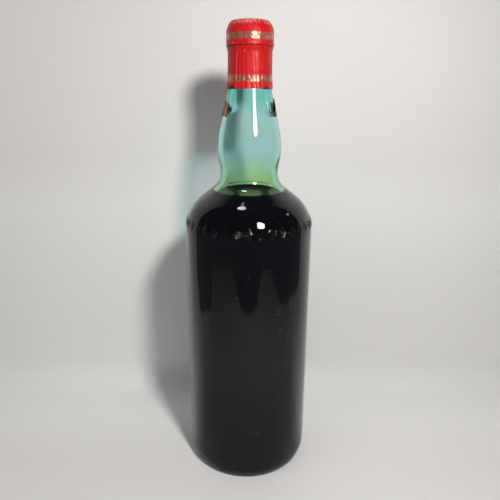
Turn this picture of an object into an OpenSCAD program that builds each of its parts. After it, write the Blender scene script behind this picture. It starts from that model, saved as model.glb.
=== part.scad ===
// A corked 75 cl bottle of clear green glass, filled with dark fortified wine.
// The origin is the centre of the circle that the bottle stands on, and +Z is up.
// Every turned piece is a profile of [radius, height] points spun round Z.

/* [Body] */
// Outer radius of the straight side
body_r = 40.5; // [36:0.5:46]
// Height of the straight side, from the heel to the shoulder
side_h = 151.3; // [120:0.1:180]
// Glass thickness from the heel to the bulb of the neck
wall = 3.2; // [2:0.1:4]

/* [Base] */
// Outer radius of the flat ring that the bottle stands on
bearing_r = 34; // [31:0.5:35.5]
// Width of that flat ring
bearing_w = 3.5; // [2:0.1:6]
// Height of the rounded heel
heel_h = 11.7; // [9:0.1:16]
// Rise of the punt under the base
punt_h = 20; // [5:0.5:30]
// Glass thickness of the floor
floor_t = 4.5; // [3:0.1:6.5]

/* [Shoulder] */
// Radius of the shoulder's outer curve
shoulder_round = 26.6; // [20:0.1:30]
// Steepness of the sloped stretch, as the turn from upright
shoulder_turn = 52; // [46:1:60]
// Radius of the hollow curve where the shoulder meets the neck
root_round = 10; // [6:0.1:14]

/* [Neck] */
// Outer radius at the waist, the narrow foot of the neck
waist_r = 18.1; // [16.5:0.1:19]
// Outer radius of the bulb above the waist
bulb_r = 19.8; // [19:0.1:21.5]
// Height from the waist to the widest point of the bulb
bulb_rise = 14.7; // [10:0.1:20]
// Height over which the bulb narrows to the straight neck
taper_h = 43.5; // [35:0.1:52]
// Outer radius of the straight neck
neck_r = 12.75; // [11.8:0.05:13.5]
// Height of the straight neck under the lip
neck_h = 12.7; // [9:0.1:18]

/* [Mouth] */
// How far the lip stands out from the neck
lip_proud = 0.8; // [0.5:0.05:1.6]
// Height of the sloped underside of the lip
lip_slope_h = 3; // [1.5:0.1:5]
// Height of the lip above its sloped underside
lip_h = 13.7; // [12:0.1:18]
// Height of the long round at the lip's upper edge
lip_edge_h = 8.5; // [4:0.1:10]
// Width of the flat land round the mouth
mouth_land = 0.2; // [0.1:0.05:0.6]
// Chamfer at the mouth of the bore
mouth_chamfer = 0.5; // [0.2:0.05:0.8]
// Radius of the straight bore that grips the cork
bore_r = 9.25; // [8.5:0.05:10]
// Depth of the straight bore
bore_h = 37.5; // [30:0.5:42]

/* [Cork] */
// Length of the cork
cork_l = 34.5; // [26:0.5:38]
// Depth of the cork's top below the mouth
cork_sink = 0.6; // [0.3:0.05:2]
// Bevel at both ends of the cork
cork_bevel = 0.6; // [0.2:0.05:1]
// Gap between the cork and the bore
cork_gap = 0.05; // [0.02:0.01:0.1]

/* [Wine] */
// Depth of the wine's surface below the mouth
ullage = 100.4; // [80:0.1:130]
// Gap between the wine and the glass
wine_gap = 0.05; // [0.02:0.01:0.1]

/* [Capsule] */
// Thickness of the foil
foil_t = 0.25; // [0.15:0.05:0.4]
// Length of the whole capsule, from the mouth down to its hem
capsule_h = 37; // [32:0.1:42]
// Gap between the foil crown and the lip
crown_gap = 0.25; // [0.15:0.05:0.4]
// Gap over the lip and at the cut where the crown comes away
cut_gap = 0.1; // [0.05:0.05:0.3]
// Gap between the foil skirt and the neck
skirt_gap = 0.06; // [0.03:0.01:0.15]
// Number of pleats round the hem
pleats = 24; // [16:1:28]
// How far the deepest pleat stands out at the hem
pleat_proud = 0.38; // [0.1:0.02:0.6]
// How far the torn hem wanders up and down
hem_wander = 0.45; // [0.1:0.05:0.8]

/* [Seal strip] */
// Width of the paper strip
strip_w = 18.5; // [12:0.5:20]
// Length of each end of the strip that is left on the neck
strip_l = 10.4; // [9:0.1:14]
// Thickness of the paper
strip_t = 0.16; // [0.1:0.02:0.3]
// Gap between the paper and the glass
strip_gap = 0.05; // [0.02:0.01:0.1]
// Distance from the hem of the capsule down to the torn edge
strip_drop = 5.1; // [3:0.1:8]
// Depth of the tear along the upper edge
tear_h = 7; // [1:0.1:7.5]
// Turn of the left end's middle from the front of the bottle
left_turn = -87; // [-100:1:-70]
// Turn of the right end's middle from the front of the bottle
right_turn = 100; // [80:1:125]

/* [Hidden] */
// Heights of the stations along the axis
shoulder_z = heel_h + side_h;
slope_l = (body_r - waist_r - (shoulder_round + root_round) * (1 - cos(shoulder_turn))) / sin(shoulder_turn);
waist_z = shoulder_z + (shoulder_round + root_round) * sin(shoulder_turn) + slope_l * cos(shoulder_turn);
bulb_z = waist_z + bulb_rise;
neck_z = bulb_z + taper_h;
lip_slope_z = neck_z + neck_h;
lip_z = lip_slope_z + lip_slope_h;
mouth_z = lip_z + lip_h;

// Radii that follow from the driving sizes
punt_r = bearing_r - bearing_w;
moat_r = bearing_r - bearing_w / 2;
lip_r = neck_r + lip_proud;
lip_edge_w = lip_r - bore_r - mouth_chamfer - mouth_land;

// Places of the pieces that the glass carries
cork_top_z = mouth_z - cork_sink;
wine_z = mouth_z - ullage;
hem_z = mouth_z - capsule_h;
strip_top_z = hem_z - strip_drop;

// How finely curves are drawn
curve_steps = 14;
turn_facets = 180;
skirt_rows = 8;
strip_rows = 6;

// One pleat of the foil, column by column, as shares of its height
pleat_shares = [0, 0.3, 1, 0.15];
// The pleats' depth at the cut, as a share of their depth at the hem
pleat_top_share = 0.12;
// Size of the slow change from pleat to pleat, as a share of their depth, and the turn over which it repeats
pleat_change_share = 0.45;
pleat_change_turn = 120;
// The hem's two waves: how many of each go round, and the turn by which the first is shifted
hem_waves = [5, 13];
hem_shift_turn = 40;
// Torn upper edges of the two strip ends, from one side to the other, as shares of the tear's depth
left_tear_shares = [0.36, 0.24, 0.3, 0.12, 0.18, 0.08, 0.16, 0.2, 0.14, 0.24, 0.18, 0.28, 0.34, 0.3, 0.44];
right_tear_shares = [1, 0.8, 0.62, 0.38, 0.3, 0.12, 0.06, 0, 0.1, 0.06, 0.2, 0.16, 0.3, 0.26, 0.42];
strip_columns = len(left_tear_shares) - 1;

// Points on an ellipse's arc: centre, half width, half height, and two angles from +radius towards +Z
function arc(centre, half_w, half_h, from, to) =
    [for (i = [0:curve_steps])
        let (a = from + (to - from) * i / curve_steps)
        [centre[0] + half_w * cos(a), centre[1] + half_h * sin(a)]];

// The share of a rise that a smooth ease has covered, for x from 0 to 1
function ease(x) = (1 - cos(180 * x)) / 2;

// Points on a smooth ease from one radius to another between two heights
function eased(r0, z0, r1, z1) =
    [for (i = [0:curve_steps])
        let (x = i / curve_steps)
        [r0 + (r1 - r0) * ease(x), z0 + (z1 - z0) * x]];

// Points on the dome of the punt or of the floor above it, from the axis out to the radius r
function dome(r, z) =
    [for (i = [0:curve_steps])
        let (x = i / curve_steps)
        [r * x, z + punt_h * (1 - ease(x))]];

// Shoulder, slope and hollow root, set in from the outer surface by inset, up to the waist
function shoulder(inset) = concat(
    arc([body_r - shoulder_round, shoulder_z],
        shoulder_round - inset, shoulder_round - inset, 0, shoulder_turn),
    arc([waist_r + root_round, waist_z],
        root_round + inset, root_round + inset, 180 + shoulder_turn, 180));

// Outer surface from the punt up to the flat land round the mouth
outer_profile = concat(
    dome(punt_r, 0),
    arc([bearing_r, heel_h], body_r - bearing_r, heel_h, -90, 0),
    shoulder(0),
    eased(waist_r, waist_z, bulb_r, bulb_z),
    eased(bulb_r, bulb_z, neck_r, neck_z),
    [[neck_r, lip_slope_z], [lip_r, lip_z]],
    arc([lip_r - lip_edge_w, mouth_z - lip_edge_h], lip_edge_w, lip_edge_h, 0, 90));

// Inner surface from the floor up to the top of the bore, set in by inset from the outer surface
// and moved off the bore and the floor by gap
function cavity_profile(inset, gap) = concat(
    dome(moat_r, floor_t + gap),
    arc([moat_r, heel_h], body_r - inset - moat_r, heel_h - floor_t - gap, -90, 0),
    shoulder(inset),
    eased(waist_r - inset, waist_z, bulb_r - inset, bulb_z),
    eased(bulb_r - inset, bulb_z, bore_r - gap, mouth_z - bore_h),
    [[bore_r - gap, mouth_z - mouth_chamfer]]);

// A list of points from its last to its first
function reversed(points) = [for (i = [len(points) - 1:-1:0]) points[i]];

// Radius of the glass at a height between the waist and the lip
function glass_r(z) =
    z < bulb_z ? waist_r + (bulb_r - waist_r) * ease((z - waist_z) / bulb_rise) :
    z < neck_z ? bulb_r + (neck_r - bulb_r) * ease((z - bulb_z) / taper_h) :
    z < lip_slope_z ? neck_r :
    z < lip_z ? neck_r + lip_proud * (z - lip_slope_z) / lip_slope_h :
    lip_r;

module spin(points) {
    rotate_extrude($fn = turn_facets)
        polygon(points);
}

// The blown bottle: punt, bearing ring, heel, side, shoulder, waisted neck, lip and bore in one piece
module bottle_glass() {
    color([0.52, 0.76, 0.68, 0.45])
        spin(concat(
            outer_profile,
            [[bore_r + mouth_chamfer, mouth_z]],
            reversed(cavity_profile(wall, 0))));
}

// The wine fills the cavity up to its level
module wine() {
    color([0.09, 0.03, 0.05])
        intersection() {
            spin(concat(
                cavity_profile(wall + wine_gap, wine_gap),
                [[0, mouth_z - mouth_chamfer]]));
            cylinder(r = body_r, h = wine_z, $fn = turn_facets);
        }
}

// The driven cork, a straight cylinder with a small bevel at each end
module cork() {
    cork_r = bore_r - cork_gap;
    foot_z = cork_top_z - cork_l;
    color([0.72, 0.54, 0.35])
        spin([
            [0, foot_z],
            [cork_r - cork_bevel, foot_z],
            [cork_r, foot_z + cork_bevel],
            [cork_r, cork_top_z - cork_bevel],
            [cork_r - cork_bevel, cork_top_z],
            [0, cork_top_z]]);
}

// The upper part of the capsule, a foil cap over the lip that comes away at the cut
module capsule_crown() {
    edge_centre = [lip_r - lip_edge_w, mouth_z - lip_edge_h];
    inner_w = lip_edge_w + crown_gap;
    inner_h = lip_edge_h + cut_gap;
    inner = arc(edge_centre, inner_w, inner_h, 0, 90);
    outer = arc(edge_centre, inner_w + foil_t, inner_h + foil_t, 0, 90);
    color([0.73, 0.07, 0.09])
        spin(concat(
            [[lip_r + crown_gap, lip_z + cut_gap], [lip_r + crown_gap + foil_t, lip_z + cut_gap]],
            outer,
            [[0, mouth_z + cut_gap + foil_t], [0, mouth_z + cut_gap]],
            reversed(inner)));
}

// Closed shell over a grid of columns and rows: the outer points first, then the inner points.
// When ring is true, the last column joins the first.
module grid_shell(outer, inner, columns, rows, ring) {
    cells = ring ? columns : columns - 1;
    under = columns * rows;
    function at(i, j) = (i % columns) * rows + j;
    skins = [for (i = [0:cells - 1]) for (j = [0:rows - 2])
        let (a = at(i, j), b = at(i + 1, j), c = at(i + 1, j + 1), d = at(i, j + 1))
        each [[a, c, b], [a, d, c], [under + a, under + b, under + c], [under + a, under + c, under + d]]];
    edges = [for (i = [0:cells - 1])
        let (a = at(i, 0), b = at(i + 1, 0), c = at(i, rows - 1), d = at(i + 1, rows - 1))
        each [[a, b, under + b], [a, under + b, under + a], [c, under + d, d], [c, under + c, under + d]]];
    sides = ring ? [] : [for (j = [0:rows - 2])
        let (a = at(0, j), b = at(0, j + 1), c = at(columns - 1, j), d = at(columns - 1, j + 1))
        each [[a, under + b, b], [a, under + a, under + b], [c, d, under + d], [c, under + d, under + c]]];
    polyhedron(points = concat(outer, inner), faces = concat(skins, edges, sides), convexity = 6);
}

// A point on a circle of radius r at the height z, turned by a from the front of the bottle, -Y
function round_point(a, r, z) = [r * sin(a), -r * cos(a), z];

// The lower part of the capsule: foil pressed to the neck in pleats that deepen to a torn hem
module capsule_skirt() {
    per_pleat = len(pleat_shares);
    columns = pleats * per_pleat;
    function hem_at(a) = hem_z
        + hem_wander * (sin(hem_waves[0] * a + hem_shift_turn) + sin(hem_waves[1] * a)) / len(hem_waves);
    // Rows from the hem to the foot of the lip's slope, and one more at the cut
    function row_z(a, j) = j == skirt_rows ? lip_z :
        hem_at(a) + (lip_slope_z - hem_at(a)) * j / (skirt_rows - 1);
    function fade(z) = pleat_top_share
        + (1 - pleat_top_share) * pow((lip_z - z) / (lip_z - hem_z + hem_wander), 2);
    function depth(i, a) = pleat_proud * pleat_shares[i % per_pleat]
        * (1 - pleat_change_share * ease(2 * (a % pleat_change_turn) / pleat_change_turn));
    outer = [for (i = [0:columns - 1]) for (j = [0:skirt_rows])
        let (a = 360 * i / columns, z = row_z(a, j))
        round_point(a, glass_r(z) + skirt_gap + foil_t + depth(i, a) * fade(z), z)];
    inner = [for (i = [0:columns - 1]) for (j = [0:skirt_rows])
        let (a = 360 * i / columns, z = row_z(a, j))
        round_point(a, glass_r(z) + skirt_gap, z)];
    color([0.70, 0.06, 0.08])
        grid_shell(outer, inner, columns, skirt_rows + 1, true);
}

// One end of the paper strip, torn along its upper edge and pasted round the neck
module seal_end(turn, tear_shares) {
    foot_z = strip_top_z - strip_l;
    half_turn = strip_w / 2 / glass_r(foot_z) * 180 / PI;
    function top_at(i) = strip_top_z - tear_h * tear_shares[i];
    function skin(lift) = [for (i = [0:strip_columns]) for (j = [0:strip_rows])
        let (
            a = turn + half_turn * (2 * i / strip_columns - 1),
            z = foot_z + (top_at(i) - foot_z) * j / strip_rows)
        round_point(a, glass_r(z) + strip_gap + lift, z)];
    color([0.56, 0.39, 0.25])
        grid_shell(skin(strip_t), skin(0), strip_columns + 1, strip_rows + 1, false);
}

module seal_end_left() {
    seal_end(left_turn, left_tear_shares);
}

module seal_end_right() {
    seal_end(right_turn, right_tear_shares);
}

bottle_glass();
wine();
cork();
capsule_crown();
capsule_skirt();
seal_end_left();
seal_end_right();
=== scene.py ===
import math
from collections import namedtuple

import bmesh
import bpy
from bpy.props import FloatProperty, FloatVectorProperty, IntProperty, PointerProperty
from mathutils import Matrix, Vector, noise


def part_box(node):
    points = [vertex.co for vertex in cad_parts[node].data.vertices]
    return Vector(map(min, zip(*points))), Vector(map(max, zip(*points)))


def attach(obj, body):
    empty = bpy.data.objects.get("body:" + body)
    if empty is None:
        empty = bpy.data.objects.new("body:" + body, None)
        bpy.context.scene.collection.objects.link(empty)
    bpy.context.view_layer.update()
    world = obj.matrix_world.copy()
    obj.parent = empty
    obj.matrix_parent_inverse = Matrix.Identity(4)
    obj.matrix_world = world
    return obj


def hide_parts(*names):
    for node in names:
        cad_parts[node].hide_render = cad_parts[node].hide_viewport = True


bl_info = {
    "name": "Filled Green Bottle",
    "version": (1, 0, 0),
    "blender": (4, 5, 0),
    "location": "View3D > Sidebar > Bottle",
    "description": "Makes a filled bottle of glass, wine, cork, foil and paper, on a pale sweep",
    "category": "Add Mesh",
}

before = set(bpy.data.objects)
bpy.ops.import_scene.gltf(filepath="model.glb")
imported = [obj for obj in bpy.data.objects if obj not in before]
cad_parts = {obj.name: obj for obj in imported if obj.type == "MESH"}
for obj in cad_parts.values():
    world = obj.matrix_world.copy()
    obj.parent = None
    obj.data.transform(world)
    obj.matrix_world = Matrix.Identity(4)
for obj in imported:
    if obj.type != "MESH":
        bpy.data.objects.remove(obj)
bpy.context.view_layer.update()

GLASS_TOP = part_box("bottle_glass")[1]
WINE_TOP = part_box("wine")[1]
CORK_LOW, CORK_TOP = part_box("cork")
CROWN_LOW, CROWN_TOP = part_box("capsule_crown")
SKIRT_LOW, SKIRT_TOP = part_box("capsule_skirt")
STRIP_LOW, STRIP_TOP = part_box("seal_end_right")
MM = 0.001


# Settings

def length(name, description, value):
    return FloatProperty(name=name, description=description, default=value, unit="LENGTH", precision=5)


def colour(name, description, value):
    return FloatVectorProperty(
        name=name, description=description, default=value, subtype="COLOR", size=3, min=0, max=1)


def turn(name, description, degrees):
    return FloatProperty(name=name, description=description, default=math.radians(degrees), unit="ROTATION")


def power(name, description, value):
    return FloatProperty(name=name, description=description, default=value, unit="POWER", precision=4)


def amount(name, description, value):
    return FloatProperty(name=name, description=description, default=value)


def whole(name, description, value):
    return IntProperty(name=name, description=description, default=value)


class BottleSizes(bpy.types.PropertyGroup):
    body_radius: length("Body radius", "Outer radius of the straight side", GLASS_TOP.x)
    side_height: length("Side height", "Height of the straight side", 0.1513)
    wall: length("Wall", "Thickness of the glass from the heel to the bulb", 0.0032)
    neck_wall: length("Neck wall", "Thickness of the glass in the bulb of the neck", 0.0023)
    bearing_radius: length("Bearing radius", "Outer radius of the ring that the bottle stands on", 0.034)
    bearing_width: length("Bearing width", "Width of that ring", 0.0035)
    heel_height: length("Heel height", "Height of the rounded heel", 0.0117)
    punt_height: length("Punt height", "Rise of the punt under the base", 0.020)
    floor_thickness: length("Floor thickness", "Thickness of the glass in the floor", 0.0045)
    shoulder_round: length("Shoulder round", "Radius of the shoulder's outer curve", 0.0266)
    shoulder_turn: turn("Shoulder turn", "Steepness of the slope, as the turn from upright", 52)
    root_round: length("Root round", "Radius of the hollow curve at the foot of the neck", 0.010)
    waist_radius: length("Waist radius", "Outer radius at the foot of the neck", 0.0181)
    bulb_radius: length("Bulb radius", "Outer radius of the bulb of the neck", 0.0198)
    bulb_rise: length("Bulb rise", "Height from the waist to the widest part of the bulb", 0.0147)
    taper_height: length("Taper height", "Height over which the bulb narrows", 0.0435)
    neck_radius: length("Neck radius", "Outer radius of the straight neck", 0.01275)
    neck_height: length("Neck height", "Height of the straight neck", 0.0127)
    lip_proud: length("Lip proud", "How far the lip stands out from the neck", 0.0008)
    lip_slope: length("Lip slope", "Height of the sloped underside of the lip", 0.003)
    lip_height: length("Lip height", "Height of the lip above its slope", 0.0137)
    lip_edge: length("Lip edge", "Height of the round at the lip's upper edge", 0.0085)
    mouth_land: length("Mouth land", "Width of the flat land round the mouth", 0.0002)
    mouth_chamfer: length("Mouth chamfer", "Chamfer at the mouth of the bore", 0.0005)
    bore_radius: length("Bore radius", "Radius of the bore that grips the cork", 0.00925)
    bore_depth: length("Bore depth", "Depth of the straight bore", 0.0375)
    lozenges: whole("Lozenges", "Raised lozenges round the shoulder", 36)
    lozenge_width: length("Lozenge width", "Width of one raised lozenge", 0.0050)
    lozenge_height: length("Lozenge height", "Height of one raised lozenge along the shoulder", 0.0064)
    lozenge_line: length("Lozenge line", "Width of the raised line of a lozenge", 0.0008)
    lozenge_proud: length("Lozenge proud", "How far the raised lines stand out", 0.00030)
    band_climb: length("Band climb", "Way up the shoulder's curve to the middle of the band", 0.0062)
    bearing_bars: whole("Bearing bars", "Fine bars round the bearing ring", 72)
    bar_depth: length("Bar depth", "Depth of the hollows between those bars", 0.0003)
    seam_proud: length("Seam proud", "How far the mould seams stand out", 0.00012)
    outer_wave: length("Outer wave", "Unevenness of the outer surface", 0.00007)
    inner_wave: length("Inner wave", "Unevenness of the inner surface", 0.00028)


class FoilSizes(bpy.types.PropertyGroup):
    foil: length("Foil", "Thickness of the foil", 0.00012)
    crown_room: length("Crown room", "How deep the crown is pressed in at its side", 0.00030)
    top_room: length("Top room", "How deep the crown is pressed in over the mouth", 0.00014)
    hem_room: length("Hem room", "How far the pleats stand out at the hem", 0.00052)
    neck_room: length("Neck room", "How far the foil stands out under the lip", 0.00016)
    pleats: whole("Pleats", "Number of pleats round the hem", 24)
    band_height: length("Band height", "Height of each printed band", 0.0036)
    upper_band: length("Upper band", "Height of the upper band's middle above the cut", 0.0049)
    lower_band: length("Lower band", "Height of the lower band's middle above the hem", 0.0061)
    hem_tear: length("Hem tear", "How far the torn hem wanders", 0.00045)


class PaperSizes(bpy.types.PropertyGroup):
    width: length("Strip width", "Width of the paper strip", 0.0185)
    thickness: length("Paper thickness", "Thickness of the paper", 0.00014)
    tear: length("Tear", "Depth of the tear along the upper edge", 0.0070)
    left_turn: turn("Left end", "Turn of the left end from the front", -87)
    right_turn: turn("Right end", "Turn of the right end from the front", 100)
    lift: length("Lift", "How far the torn corners curl off the glass", 0.0007)


class Finishes(bpy.types.PropertyGroup):
    glass_high: colour("Upper glass", "Surface tint of the neck", (0.92, 0.955, 0.955))
    glass_low: colour("Lower glass", "Surface tint at the waist", (1.0, 0.93, 0.61))
    glass_body: colour("Glass body", "Colour that the depth of the glass leaves", (0.13, 0.86, 0.78))
    glass_depth: amount("Glass depth", "How strongly depth tints the glass", 150.0)
    glass_shade: colour("Glass shade", "Tint of the light that a surface lets through", (0.98, 0.86, 0.895))
    wine: colour("Wine", "Colour of the wine against the glass", (0.0022, 0.0021, 0.0042))
    foil_red: colour("Foil red", "Red lacquer of the foil", (0.54, 0.005, 0.006))
    foil_band: colour("Foil band", "Printed band of the foil", (0.66, 0.215, 0.15))
    foil_bare: colour("Bare foil", "Metal under the lacquer", (0.72, 0.70, 0.67))
    cork: colour("Cork", "Bark of the cork", (0.42, 0.24, 0.11))
    cork_stain: colour("Cork stain", "Wine that has soaked into the foot of the cork", (0.055, 0.010, 0.014))
    paper: colour("Paper", "Face of the old paper", (0.34, 0.20, 0.11))
    paper_core: colour("Paper core", "Torn fibres of the paper", (0.50, 0.38, 0.26))
    sweep: colour("Sweep", "Pale paper that the bottle stands on", (0.84, 0.83, 0.82))


class StageSizes(bpy.types.PropertyGroup):
    camera_place: FloatVectorProperty(
        name="Camera place", description="Where the camera stands", subtype="TRANSLATION", size=3,
        default=(0.0, -0.31045, 0.24507), precision=5)
    camera_pitch: turn("Camera pitch", "How far the camera looks down", 16.79)
    camera_roll: turn("Camera roll", "How far the camera leans", 0.43)
    camera_lens: amount("Lens", "Focal length in millimetres", 35.68)
    camera_shift: FloatVectorProperty(
        name="Shift", description="Sideways and upward shift of the frame", size=2,
        default=(0.0028, -0.01004), precision=5)
    sweep_back: length("Sweep back", "Distance from the axis to the upright part of the sweep", 0.079)
    sweep_round: length("Sweep round", "Radius of the bend in the sweep", 0.020)
    sweep_left: length("Sweep left", "Width of the sweep to the left", 0.37)
    sweep_right: length("Sweep right", "Width of the sweep to the right", 0.37)
    sweep_height: length("Sweep height", "Height of the sweep", 0.75)
    key_watts: power("Key lamp", "Power of the key lamp in watts", 1.35)
    glow_watts: power("Key glow", "Power of the glow round the key lamp", 0.34)
    top_watts: power("Top lamp", "Power of the overhead lamp in watts", 0.27)
    side_watts: power("Side lamp", "Power of the small side lamp in watts", 0.006)
    fill_watts: power("Fill lamp", "Power of the broad lamp at the left", 0.34)


# Tools that write node trees

class Rule:
    """Writes a rule as nodes. Each method adds a node to the tree and returns its output."""

    def __init__(self, tree):
        self.tree = tree

    def node(self, kind, **settings):
        made = self.tree.nodes.new(kind)
        for name, value in settings.items():
            setattr(made, name, value)
        return made

    def feed(self, socket, value):
        """Joins an output to a socket, or sets the socket to a plain value."""
        if isinstance(value, bpy.types.NodeSocket):
            self.tree.links.new(value, socket)
        elif socket.type == "RGBA" and len(value) == 3:
            socket.default_value = (*value, 1)
        else:
            socket.default_value = value

    def math(self, operation, *values, clamp=False):
        made = self.node("ShaderNodeMath", operation=operation, use_clamp=clamp)
        for socket, value in zip(made.inputs, values):
            self.feed(socket, value)
        return made.outputs[0]

    def chain(self, operation, *values):
        """The same operation from value to value."""
        found = values[0]
        for value in values[1:]:
            found = self.math(operation, found, value)
        return found

    def total(self, *values):
        return self.chain("ADD", *values)

    def product(self, *values):
        return self.chain("MULTIPLY", *values)

    def most(self, *values):
        return self.chain("MAXIMUM", *values)

    def minus(self, first, second):
        return self.math("SUBTRACT", first, second)

    def over(self, first, second):
        return self.math("DIVIDE", first, second)

    def less(self, value):
        """One minus the value."""
        return self.minus(1.0, value)

    def apart(self, first, second):
        """How far two values are apart."""
        return self.math("ABSOLUTE", self.minus(first, second))

    def reach(self, *values):
        """The root of the sum of the squares."""
        return self.math("SQRT", self.total(*[self.product(value, value) for value in values]))

    def swing(self, value, width):
        """A noise as a drift round zero, with a full width."""
        return self.product(self.minus(value, 0.5), width)

    def share_round(self, x, y):
        """The share of a turn from the front of the axis, from minus a half to a half."""
        return self.over(self.math("ARCTAN2", x, self.product(y, -1.0)), math.tau)

    def kept(self, name):
        """A number that the mesh keeps under a name, for a material."""
        return self.node("ShaderNodeAttribute", attribute_name=name).outputs["Fac"]

    def step(self, value, low, high, start=0.0, end=1.0):
        """A smooth step of the value from low to high."""
        made = self.node("ShaderNodeMapRange", interpolation_type="SMOOTHSTEP")
        for socket, given in zip(made.inputs, (value, low, high, start, end)):
            self.feed(socket, given)
        return made.outputs[0]

    def vector(self, operation, *values):
        made = self.node("ShaderNodeVectorMath", operation=operation)
        for socket, value in zip(made.inputs, values):
            self.feed(socket, value)
        return made.outputs[0]

    def scaled(self, vector, by):
        """The vector times a number."""
        made = self.node("ShaderNodeVectorMath", operation="SCALE")
        self.feed(made.inputs[0], vector)
        self.feed(made.inputs["Scale"], by)
        return made.outputs[0]

    def split(self, vector):
        made = self.node("ShaderNodeSeparateXYZ")
        self.feed(made.inputs[0], vector)
        return made.outputs[:3]

    def joined(self, x, y, z):
        made = self.node("ShaderNodeCombineXYZ")
        for socket, value in zip(made.inputs, (x, y, z)):
            self.feed(socket, value)
        return made.outputs[0]

    def noise(self, place, scale, detail=2.0, roughness=0.5):
        made = self.node("ShaderNodeTexNoise")
        self.feed(made.inputs["Vector"], place)
        self.feed(made.inputs["Scale"], scale)
        self.feed(made.inputs["Detail"], detail)
        self.feed(made.inputs["Roughness"], roughness)
        return made.outputs[0]

    def cells(self, place, scale, feature="F1"):
        made = self.node("ShaderNodeTexVoronoi", feature=feature)
        self.feed(made.inputs["Vector"], place)
        self.feed(made.inputs["Scale"], scale)
        return made.outputs[0]

    def mix(self, share, first, second):
        """A mix of two colours."""
        made = self.node("ShaderNodeMix", data_type="RGBA")
        self.feed(made.inputs[0], share)
        self.feed(made.inputs[6], first)
        self.feed(made.inputs[7], second)
        return made.outputs[2]

    def group(self, tree, **values):
        """Places a shader group and sets its inputs by name, with _ for a space."""
        made = self.node("ShaderNodeGroup", node_tree=tree)
        for name, value in values.items():
            self.feed(made.inputs[name.replace("_", " ").capitalize()], value)
        return made.outputs


def new_tree(name, kind, inputs, outputs):
    """A node tree with named sockets. Each input is (name, socket type, default or None)."""
    tree = bpy.data.node_groups.new(name, kind)
    for label, socket_type, value in inputs:
        socket = tree.interface.new_socket(label, in_out="INPUT", socket_type=socket_type)
        if value is not None:
            socket.default_value = value
    for label, socket_type in outputs:
        tree.interface.new_socket(label, in_out="OUTPUT", socket_type=socket_type)
    return tree


def shape_tree(name, numbers, materials):
    """A geometry tree that takes and gives a mesh. Returns the tree, its rule, its inputs and its end."""
    inputs = [("Mesh", "NodeSocketGeometry", None)]
    inputs += [(label, "NodeSocketFloat", value) for label, value in numbers.items()]
    inputs += [(label, "NodeSocketMaterial", None) for label in materials]
    tree = new_tree(name, "GeometryNodeTree", inputs, [("Mesh", "NodeSocketGeometry")])
    rule = Rule(tree)
    return tree, rule, rule.node("NodeGroupInput").outputs, rule.node("NodeGroupOutput").inputs[0]


def effect_tree(name, inputs, outputs):
    """A shader group of values that reads a place. Returns the tree, its rule, its inputs and its ends."""
    number = "NodeSocketFloat"
    sockets = [("Place", "NodeSocketVector", None)]
    sockets += [(label, number, value) for label, value in inputs.items()]
    tree = new_tree(name, "ShaderNodeTree", sockets, [(label, number) for label in outputs])
    rule = Rule(tree)
    return tree, rule, rule.node("NodeGroupInput").outputs, rule.node("NodeGroupOutput").inputs


def moved(rule, mesh, offset):
    """The mesh with its points moved by the offset."""
    mover = rule.node("GeometryNodeSetPosition")
    rule.feed(mover.inputs["Geometry"], mesh)
    rule.feed(mover.inputs["Offset"], offset)
    return mover.outputs[0]


def finished(rule, mesh, end, materials):
    """Ends a geometry tree with real instances and its materials, each a (material, selection or None)."""
    real = rule.node("GeometryNodeRealizeInstances")
    rule.feed(real.inputs[0], mesh)
    mesh = real.outputs[0]
    for material, chosen in materials:
        setter = rule.node("GeometryNodeSetMaterial")
        rule.feed(setter.inputs["Geometry"], mesh)
        rule.feed(setter.inputs["Material"], material)
        if chosen is not None:
            rule.feed(setter.inputs["Selection"], chosen)
        mesh = setter.outputs[0]
    rule.feed(end, mesh)


def named(rule, name, data_type):
    """The output that reads a named attribute of the mesh."""
    made = rule.node("GeometryNodeInputNamedAttribute", data_type=data_type)
    made.inputs["Name"].default_value = name
    return next(socket for socket in made.outputs if socket.enabled)


def shaped(piece, tree, values):
    """Runs a geometry tree on a piece and keeps the result as its plain mesh."""
    modifier = piece.modifiers.new(tree.name, "NODES")
    modifier.node_group = tree
    for item in tree.interface.items_tree:
        if item.in_out == "INPUT" and item.name in values:
            modifier[item.identifier] = values[item.name]
    depsgraph = bpy.context.evaluated_depsgraph_get()
    mesh = bpy.data.meshes.new_from_object(piece.evaluated_get(depsgraph))
    piece.modifiers.remove(modifier)
    piece.data = mesh
    return piece


# Tools that make meshes

Row = namedtuple("Row", "radius height columns")
SAME_PLACE = 1e-7


def arc(centre, half_width, half_height, start, end, steps):
    """Points on an ellipse's arc, by angles in radians from outward towards up."""
    angles = [start + (end - start) * i / steps for i in range(steps + 1)]
    return [(centre[0] + half_width * math.cos(a), centre[1] + half_height * math.sin(a)) for a in angles]


def ease(share):
    """The share of a rise that a smooth ease has covered."""
    return (1 - math.cos(math.pi * share)) / 2


def eased(r0, z0, r1, z1, steps):
    """Points on a smooth ease from one radius to another."""
    shares = [i / steps for i in range(steps + 1)]
    return [(r0 + (r1 - r0) * ease(x), z0 + (z1 - z0) * x) for x in shares]


def straight(r0, z0, r1, z1, steps):
    """Points on a straight line."""
    shares = [i / steps for i in range(steps + 1)]
    return [(r0 + (r1 - r0) * x, z0 + (z1 - z0) * x) for x in shares]


def path_rows(stretches):
    """Rows from stretches of points, each with its number of columns, with no point twice."""
    rows = []
    for points, columns in stretches:
        for radius, height in points:
            last = rows[-1] if rows else None
            if last and abs(last.radius - radius) + abs(last.height - height) < SAME_PLACE:
                continue
            rows.append(Row(max(radius, 0.0), height, columns))
    return rows


def round_point(angle, radius, height):
    """A point round the axis, turned by the angle from the front."""
    return Vector((radius * math.sin(angle), -radius * math.cos(angle), height))


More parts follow.
